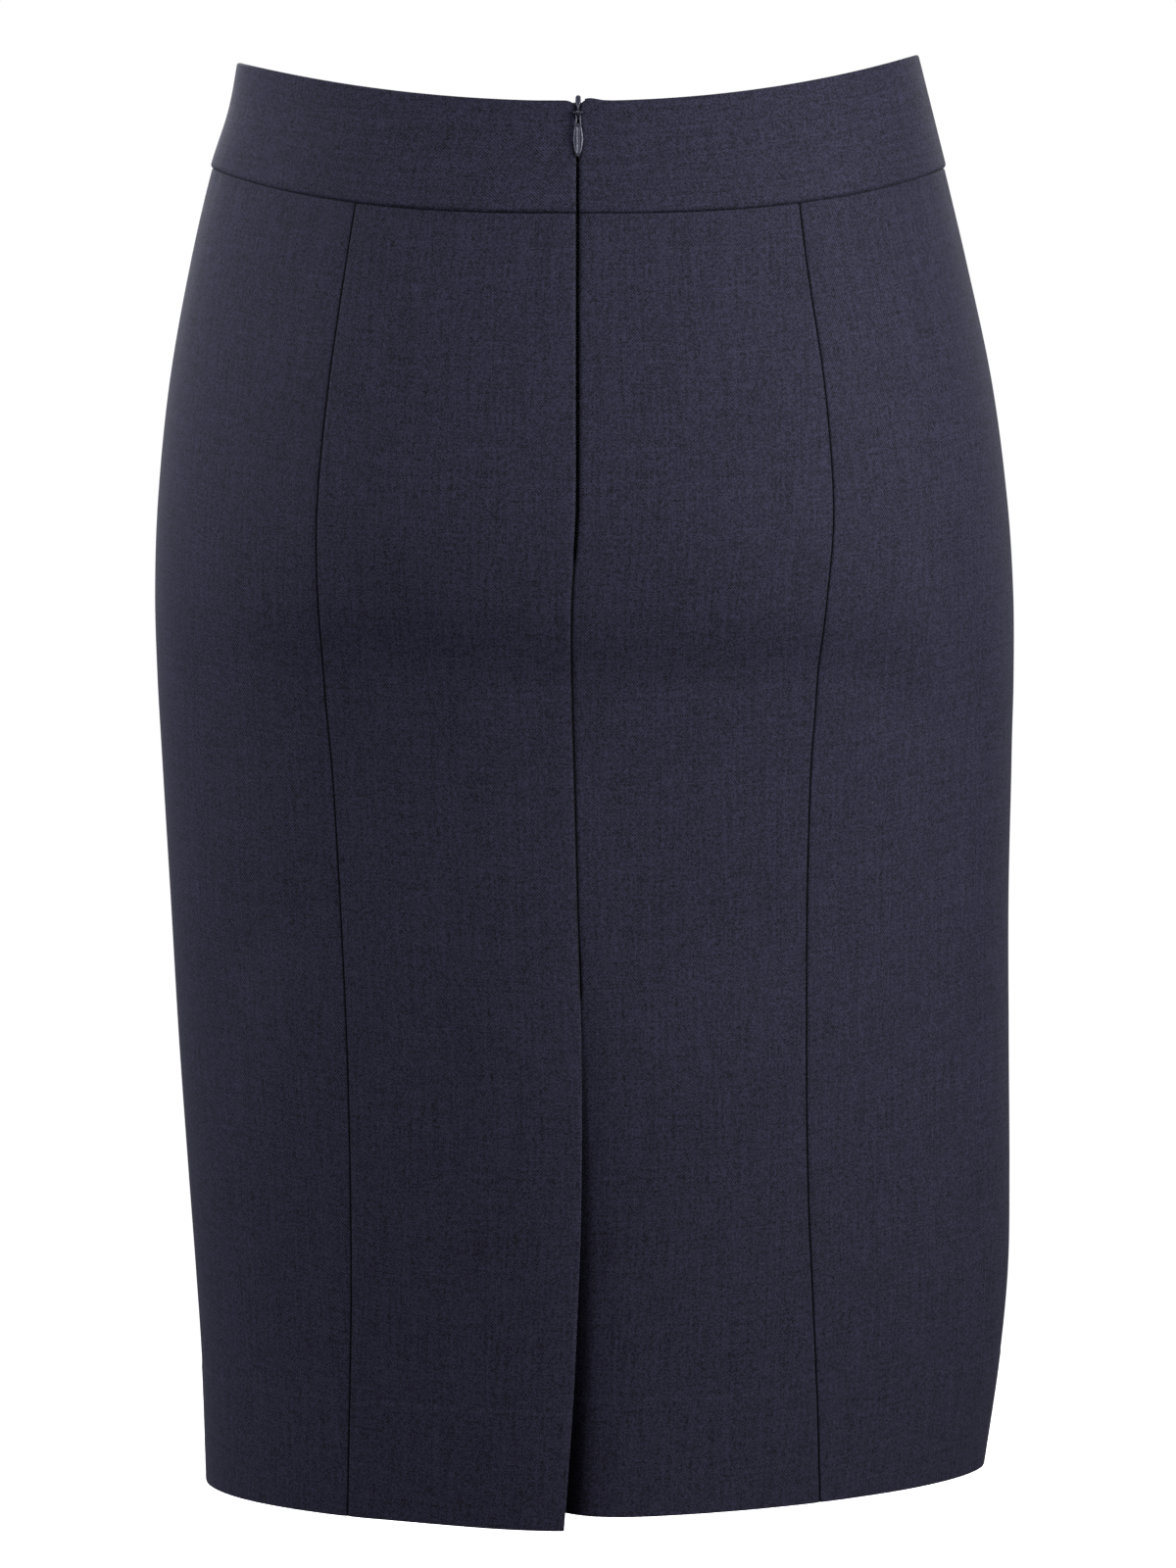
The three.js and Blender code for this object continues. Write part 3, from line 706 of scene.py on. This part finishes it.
BELOW_HEM = -1000
PLAIN = (("seam", BELOW_HEM),)
ZIPPED = (("zip", ZIP["bottom"]), ("centre", VENT["top"]))
LAPPED = (*ZIPPED, ("lap", BELOW_HEM))
pieces = {}
pieces["front"] = panel(
    "front", FRONT_EDGES, LEFT_HEIGHTS, WIDTH["front"], (PLAIN, PLAIN), darts=DARTS)
pieces["side_left"] = panel(
    "side_left", edge_angles(always(GAP_ANGLE - SIDE_SEAM), lambda z: princess_left(z, 1)),
    LEFT_HEIGHTS, WIDTH["side"], (PLAIN, PLAIN))
pieces["side_right"] = panel(
    "side_right", edge_angles(lambda z: princess_right(z, -1), always(SIDE_RIGHT - GAP_ANGLE)),
    RIGHT_HEIGHTS, WIDTH["side"], (PLAIN, PLAIN))
pieces["centre_left"] = panel(
    "centre_left", edge_angles(lambda z: princess_left(z, -1), lambda z: centre_angle(z, 1)),
    LEFT_HEIGHTS, WIDTH["centre"], (PLAIN, LAPPED), lift=lap_lift)
pieces["centre_right"] = panel(
    "centre_right",
    edge_angles(lambda z: centre_angle(z, -1), lambda z: princess_right(z, 1),
                lambda z: angle_of(centre_line(z) + VENT["underlap"], z)),
    RIGHT_HEIGHTS, WIDTH["centre"], (ZIPPED, PLAIN), lift=underlap_lift,
    extension=VENT["underlap"])

# ---- Waistband -------------------------------------------------------------------------------

BAND_HEIGHT = 46
BAND_ROLLS = {
    "zip": dict(radius=1.4, outside=1.1, inside=0.8),
    "side": dict(radius=0.75, outside=0.6, inside=0),
    "top": dict(radius=1.1, outside=1.0, inside=0.9),
    "foot": dict(radius=1.8, outside=1.5, inside=0),
}
FOLDED_CORNER = dict(height=0.5, reach=9)  # the thick corner at the top of each zip edge
CORNER_RISE = dict(height=1.0, x=-5.5, reach=4.0)  # the corner the slider pushes up


def band_top(angle):
    x = on_form(angle, np.full_like(angle, BAND_TOP["back"]))[..., 0]
    at_back = ramp(np.sin(angle) * 4)
    bump = CORNER_RISE["height"] * np.exp(-((x - CORNER_RISE["x"]) / CORNER_RISE["reach"]) ** 2)
    return height_of(BAND_TOP, angle) + bump * at_back


def band(name, edges, width, zip_edge=None):
    """zip_edge is 0 or 1 where the band's first or last edge is at the zip."""
    def down(t):
        return lambda angle: mix(band_top(angle), height_of(BAND_SEAM, angle) + SEAM_GAP / 2, t)

    rows = stations(BAND_HEIGHT, (0, BAND_HEIGHT), 3.0)
    g = grid(edges, [down(t) for t in rows], stations(width, (0, width), COARSE))
    outer = np.full_like(g.x, BAND_PROUD) + 0.5 * folds(g.x, g.z, g.angle)
    inner = outer - BAND_WALL
    seam = np.zeros_like(g.x)
    kinds = ["zip" if k == zip_edge else "side" for k in (0, 1)]
    for kind, distance in zip(("top", "foot", *kinds), (g.top, g.foot, g.first, g.last)):
        roll = BAND_ROLLS[kind]
        outer -= rolled(distance, roll["radius"], roll["outside"])
        inner += rolled(distance, roll["radius"], roll["inside"])
    for k, (kind, distance) in enumerate(zip(kinds, (g.first, g.last))):
        if kind == "zip":
            reach = FOLDED_CORNER["reach"]
            outer += FOLDED_CORNER["height"] * np.exp(-(distance / reach) ** 2 - (g.top / reach) ** 2)
        else:
            outer += RIDGE * (1 - ramp((distance - 10) / 4)) * ramp(distance / 3)
            # Painted shadow in the band's side seams.
            seam = np.maximum(seam, 1 - ramp((distance - 0.12) / 0.4))
        outer += 0.06 * wiggle(g.top, k) * np.exp(-distance / 5) * ramp(distance / 1.5)
    outer += 0.09 * wiggle(g.first, 1.9) * np.exp(-g.foot / 7) * ramp(g.foot / 2)
    outer += 0.05 * wiggle(g.first, 3.1) * np.exp(-g.top / 6) * ramp(g.top / 2)
    none = np.zeros_like(g.x)
    return shell(name, g, outer, inner, band_material, None,
                 {"seam": (seam, none), "thread": (none, none)})


pieces["band_front"] = band("band_front", FRONT_EDGES, WIDTH["band_front"])
pieces["band_back_left"] = band(
    "band_back_left",
    edge_angles(always(GAP_ANGLE - SIDE_SEAM), lambda z: centre_angle(z, 1)),
    WIDTH["band_back"], zip_edge=1)
pieces["band_back_right"] = band(
    "band_back_right",
    edge_angles(lambda z: centre_angle(z, -1), always(SIDE_RIGHT - GAP_ANGLE)),
    WIDTH["band_back"], zip_edge=0)

# ---- Zip -------------------------------------------------------------------------------------

TAPE = dict(inner=0.7, outer=11.2, top=19, face=-2.2, wall=0.5)
COIL = dict(pitch=1.25, across=1.5, thick=0.8, wire=0.3, from_centre=0.75, face=-4.1, top=16)


def tape_strip(name, side):
    low_x, high_x = sorted((side * TAPE["inner"], side * TAPE["outer"]))
    rows = np.linspace(TAPE["top"], ZIP["bottom"] - ZIP["tail"], 80)
    edges = edge_angles(lambda z: angle_of(centre_line(z) + high_x, z),
                        lambda z: angle_of(centre_line(z) + low_x, z))
    g = grid(edges, [always(z) for z in rows], np.linspace(0, 1, 12))
    outer = np.full_like(g.x, TAPE["face"])
    return shell(name, g, outer, outer - TAPE["wall"], tape)


def coils():
    """Two rows of nylon loops, each loop a flattened ring round the tape's edge."""
    ring, tube = 12, 6
    a = np.linspace(0, 2 * math.pi, ring, endpoint=False)[:, None]
    b = np.linspace(0, 2 * math.pi, tube, endpoint=False)[None, :]
    i, j = np.meshgrid(np.arange(ring), np.arange(tube), indexing="ij")
    i2, j2 = (i + 1) % ring, (j + 1) % tube
    corners = [i * tube + j, i2 * tube + j, i2 * tube + j2, i * tube + j2]
    quads = np.stack(corners, -1).reshape(-1, 4)
    points, faces = [], []
    bottom = ZIP["bottom"] - ZIP["tail"] + 4
    # The left row starts half a pitch lower, so that the two rows' loops lie between each other.
    for side, drop in ((-1, 0), (1, COIL["pitch"] / 2)):
        for z in np.arange(COIL["top"] - drop, bottom, -COIL["pitch"]):
            angle = angle_of(centre_line(z) + side * COIL["from_centre"], z)
            n = outward(angle, np.float64(z)).ravel()
            centre = on_form(angle, np.float64(z)).ravel() + n * COIL["face"]
            x_axis = np.array([1.0, 0, 0])
            up = np.cross(n, x_axis)
            u = np.cos(a) * (COIL["across"] + COIL["wire"] * np.cos(b))
            w = np.sin(a) * (COIL["thick"] + COIL["wire"] * np.cos(b))
            v = COIL["wire"] * np.sin(b) * np.ones_like(a)
            p = centre + u[..., None] * x_axis + w[..., None] * n + v[..., None] * up
            faces.append(quads + len(points) * ring * tube)
            points.append(p.reshape(-1, 3))
    mesh = bpy.data.meshes.new("zip_coils")
    mesh.from_pydata((np.concatenate(points) * MM).tolist(), [], np.concatenate(faces).tolist())
    mesh.polygons.foreach_set("use_smooth", np.ones(len(mesh.polygons), bool))
    mesh.materials.append(nylon)
    piece = bpy.data.objects.new("zip_coils", mesh)
    bpy.context.collection.objects.link(piece)
    return piece


pieces["tape_left"] = tape_strip("tape_left", 1)
pieces["tape_right"] = tape_strip("tape_right", -1)
pieces["zip_coils"] = coils()


def slider_frame():
    """The slider's frame, at the pull's pivot: u across, v up the band, w out of it."""
    z = np.float64(PIVOT["z"])
    angle = angle_of(np.float64(ZIP["x"]), z)
    normal = Vector(outward(angle, z).ravel())
    out = Vector((0, normal.y, normal.z)).normalized()
    across = Vector((-1, 0, 0))
    pivot = Vector(on_form(angle, z).ravel()) * MM + normal * (BAND_PROUD + PIVOT["proud"]) * MM
    pivot.x = PIVOT["x"] * MM
    axes = Matrix((across, out.cross(across), out)).transposed().to_4x4()
    return Matrix.Translation(pivot) @ axes


def rounded_plate(name, outlines, thickness, bevel, turn=None, shift=(0, 0, 0)):
    """A plate of the outlines, each a list of (across, up) points, with rounded edges."""
    curve = bpy.data.curves.new(name, "CURVE")
    curve.dimensions = "2D"
    curve.fill_mode = "BOTH"
    curve.extrude = thickness / 2 - bevel
    curve.bevel_depth = bevel
    curve.offset = -bevel
    curve.bevel_resolution = 3
    for outline in outlines:
        line = curve.splines.new("POLY")
        line.points.add(len(outline) - 1)
        for point, (x, y) in zip(line.points, outline):
            point.co = (x, y, 0, 1)
        line.use_cyclic_u = True
    temporary = bpy.data.objects.new(name, curve)
    bpy.context.collection.objects.link(temporary)
    evaluated = temporary.evaluated_get(bpy.context.evaluated_depsgraph_get())
    mesh = bpy.data.meshes.new_from_object(evaluated)
    bpy.data.objects.remove(temporary)
    matrix = Matrix.Translation(shift) @ (turn or Matrix()).to_4x4()
    mesh.transform(matrix)
    return mesh


def joined(name, meshes, material, place):
    """One piece from several meshes drawn in millimetres in the slider's frame."""
    bm = bmesh.new()
    for mesh in meshes:
        bm.from_mesh(mesh)
    bmesh.ops.remove_doubles(bm, verts=bm.verts, dist=0.002)
    bmesh.ops.recalc_face_normals(bm, faces=bm.faces)
    whole = bpy.data.meshes.new(name)
    bm.to_mesh(whole)
    bm.free()
    whole.transform(place @ Matrix.Scale(MM, 4))
    whole.materials.clear()
    whole.materials.append(material)
    for polygon in whole.polygons:
        polygon.use_smooth = True
        polygon.material_index = 0
    whole.set_sharp_from_angle(angle=math.radians(50))
    piece = bpy.data.objects.new(name, whole)
    bpy.context.collection.objects.link(piece)
    return piece


def arc(cx, cy, radius, start, end, count=10):
    return [
        (cx + radius * math.cos(a), cy + radius * math.sin(a))
        for a in np.linspace(math.radians(start), math.radians(end), count)
    ]


def rod(radius, half_length, segments=20):
    """A round bar along u with domed ends."""
    bm = bmesh.new()
    bmesh.ops.create_uvsphere(bm, u_segments=segments, v_segments=12, radius=radius)
    for vert in bm.verts:
        vert.co.z += math.copysign(half_length - radius, vert.co.z) if abs(vert.co.z) > 1e-6 else 0
    bmesh.ops.rotate(bm, verts=bm.verts, matrix=Matrix.Rotation(math.pi / 2, 3, "Y"))
    mesh = bpy.data.meshes.new("rod")
    bm.to_mesh(mesh)
    bm.free()
    return mesh


PULL = dict(
    rest_deg=3.4, length=18.4, wall=0.9, slot=0.56, slot_end=-4.7, groove=0.13,
    pin_radius=0.48, pin_half=2.0,
)


def pull_width(v):
    """Half the blade's width at distance v below the pivot: arms, belly, then a rounded tip."""
    keys = ((0.5, 1.08), (-3.5, 1.08), (-5.3, 1.2), (-8, 1.75), (-10.8, 2.0), (-14, 1.75),
            (-16.6, 1.15), (-17.8, 0.65), (-PULL["length"], 0.0))
    heights, widths = zip(*keys[::-1])
    return float(np.interp(v, heights, widths))


def pull_meshes():
    vs = [0.5, *np.linspace(-3.5, -16.6, 24), -17.2, -17.8, -18.15, -18.32]
    soft = [np.mean([pull_width(v + d) for d in (-0.7, -0.35, 0, 0.35, 0.7)]) if -17 < v < -4
            else pull_width(v) for v in vs]
    right = [(w, v) for w, v in zip(soft, vs)]
    outline = right + [(0, -PULL["length"])] + [(-w, v) for w, v in right[::-1]]
    s = PULL["slot"]
    slot = [(-s, -0.2), (s, -0.2)] + arc(0, PULL["slot_end"] + s, s, 0, -180, 9)
    blade = rounded_plate("blade", (outline, slot), PULL["wall"] - 0.2, 0.2)
    # Two long swellings either side of a groove.
    lobes = []
    for side in (-1, 1):
        down = [v for v in vs if -17.4 < v < -5.6]
        outer = [(side * (pull_width(v) - 0.02), v) for v in down]
        inner = [(side * PULL["groove"], v) for v in down[::-1]]
        lobes.append(rounded_plate("lobe", (outer + inner,), PULL["wall"] + 0.1, 0.44))
    return [blade, *lobes, rod(PULL["pin_radius"], PULL["pin_half"])]


SLIDER = dict(ring=1.3, eye=0.58, web=0.4, body=-5.95, body_wall=2.2)


def slider_meshes():
    s = SLIDER
    back = s["body"] - s["body_wall"] / 2
    web = [(back, -2.6), (-0.9, -2.6), (-0.2, -1.28)] + arc(0, 0, s["ring"], -80, 90, 16)
    web += [(-0.45, 2.4), (-0.8, 4.0), (-1.0, 5.6), (back, 5.6)]
    eye = arc(0, 0, s["eye"], 0, 345, 24)
    side_on = Matrix.Rotation(-math.pi / 2, 3, "Y")
    plate = rounded_plate("web", (web, eye), 2 * s["web"], 0.14, side_on)
    nose_outline = (arc(0, 6.2, 1.12, 0, 180, 14) + [(-1.12, 4.6), (-0.55, 3.0), (-0.45, 1.6)]
                    + [(0.45, 1.6), (0.55, 3.0), (1.12, 4.6)])
    nose = rounded_plate("nose", (nose_outline,), 3.6, 0.3, shift=(0, 0, -2.4))
    body_outline = (arc(1.7, 4.2, 1.2, 0, 90, 8) + arc(-1.7, 4.2, 1.2, 90, 180, 8)
                    + arc(-1.7, -3.4, 1.2, 180, 270, 8) + arc(1.7, -3.4, 1.2, 270, 360, 8))
    body = rounded_plate("body", (body_outline,), s["body_wall"], 0.4,
                         shift=(0, 0, s["body"] - s["body_wall"] / 2))
    return [plate, nose, body]


at_pivot = slider_frame()
hanging = Matrix.Rotation(math.radians(PULL["rest_deg"]), 4, "X")
pieces["pull"] = joined("pull", pull_meshes(), lacquer, at_pivot @ hanging)
pieces["slider"] = joined("slider", slider_meshes(), lacquer, at_pivot)

# ---- Bodies and nodes ------------------------------------------------------------------------

# Node each piece stands for, its slot, and for cloth its flat size and area in metres.
TABLE = (
    ("front", "front_panel", "suiting", (0.459, 0.565), 0.241),
    ("side_left", "back_side_left", "suiting", (0.153, 0.565), 0.0808),
    ("side_right", "back_side_right", "suiting", (0.166, 0.560), 0.0844),
    ("centre_left", "back_centre_left", "suiting", (0.110, 0.552), 0.0569),
    ("centre_right", "back_centre_right", "suiting", (0.150, 0.549), 0.0646),
    ("band_front", "waistband_front", "suiting", (0.410, 0.050), 0.0195),
    ("band_back_left", "waistband_back_left", "suiting", (0.224, 0.050), 0.0105),
    ("band_back_right", "waistband_back_right", "suiting", (0.224, 0.050), 0.0108),
    ("tape_left", "zip_tape_left", "zip_tape", (0.011, 0.193), None),
    ("tape_right", "zip_tape_right", "zip_tape", (0.011, 0.193), None),
    ("zip_coils", "zip_chain", "zip_coil", None, None),
    ("slider", "zip_slider", "zip_lacquer", None, None),
    ("pull", "zip_pull", "zip_lacquer", None, None),
)
for piece_name, node, slot, flat, area in TABLE:
    piece = pieces[piece_name]
    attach(piece, "pull_tab" if node == "zip_pull" else "skirt")
    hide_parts(node)

# ---- Room, light and camera ------------------------------------------------------------------

# Metres from here on.
FLOOR_Z, FLOOR_HALF = -1.05, 14
floor_mesh = bpy.data.meshes.new("floor")
floor_mesh.from_pydata(
    [(-FLOOR_HALF, -FLOOR_HALF, FLOOR_Z), (FLOOR_HALF, -FLOOR_HALF, FLOOR_Z),
     (FLOOR_HALF, FLOOR_HALF, FLOOR_Z), (-FLOOR_HALF, FLOOR_HALF, FLOOR_Z)], [], [(0, 1, 2, 3)])
floor = bpy.data.objects.new("floor", floor_mesh)
bpy.context.collection.objects.link(floor)
pale = Nodes("pale_floor")
pale.put(pale.shader, "Base Color", (0.86, 0.86, 0.86, 1))
pale.put(pale.shader, "Roughness", 0.9)
pale.put(pale.shader, "Emission Color", (1, 1, 1, 1))
pale.put(pale.shader, "Emission Strength", 1.0)
floor.visible_diffuse = False
floor.visible_glossy = False
floor_mesh.materials.append(pale.material)

scene = bpy.context.scene
world = bpy.data.worlds.new("studio")
scene.world = world
world.use_nodes = True
world.node_tree.nodes["Background"].inputs[0].default_value = (1, 1, 1, 1)
world.node_tree.nodes["Background"].inputs[1].default_value = 1.0
world.cycles_visibility.diffuse = False
world.cycles_visibility.glossy = False
scene.view_settings.view_transform = "Standard"

# The powers of the first six began as a fit to the photo's brightness.
NEUTRAL, COOL = (1, 1, 1), (0.95, 0.95, 1.02)
LIGHTS = (
    # name, place, aimed at, width, watts, colour
    ("key", (-1.3, 1.0, 0.3), (0, 0, -0.15), 0.7, 14.2, NEUTRAL),
    ("key_side", (-1.1, 0.5, 0.35), (-0.1, 0, -0.1), 0.5, 7.8, NEUTRAL),
    ("fill", (1.8, 2.4, 0.5), (0, 0, -0.2), 1.5, 26.5, COOL),
    ("fill_side", (1.7, 0.6, 0.2), (0.1, 0, -0.2), 0.9, 4.0, COOL),
    ("overhead", (0.1, 0.9, 0.9), (0, 0, -0.05), 0.7, 1.8, NEUTRAL),
    ("rim", (1.1, -0.2, 0.35), (0, 0, -0.1), 0.5, 7.6, COOL),
    ("front", (0.4, -2.8, 0.9), (0, 0, -0.2), 1.4, 60, NEUTRAL),
    ("front_left", (1.3, -2.4, 0.8), (0, 0, -0.2), 1.2, 26, COOL),
    ("front_right", (-1.3, -2.4, 0.8), (0, 0, -0.2), 1.2, 26, NEUTRAL),
)
for name, place, target, width, watts, colour in LIGHTS:
    data = bpy.data.lights.new(name, "AREA")
    data.shape = "SQUARE"
    data.size = width
    data.energy = watts
    data.color = colour
    lamp = bpy.data.objects.new(name, data)
    lamp.location = place
    lamp.rotation_euler = (Vector(target) - Vector(place)).to_track_quat("-Z", "Y").to_euler()
    bpy.context.collection.objects.link(lamp)

CAMERA = dict(place=(-0.00458, 3.0, -0.004), lens=162, tilt_deg=4.914)
camera_data = bpy.data.cameras.new("camera")
camera_data.lens = CAMERA["lens"]
camera_data.sensor_width = 36
camera_data.dof.use_dof = False
camera = bpy.data.objects.new("camera", camera_data)
t = math.radians(CAMERA["tilt_deg"])
right, up, behind = (-1, 0, 0), (0, -math.sin(t), math.cos(t)), (0, math.cos(t), math.sin(t))
camera.matrix_world = (
    Matrix.Translation(CAMERA["place"]) @ Matrix((right, up, behind)).transposed().to_4x4())
bpy.context.collection.objects.link(camera)
scene.camera = camera
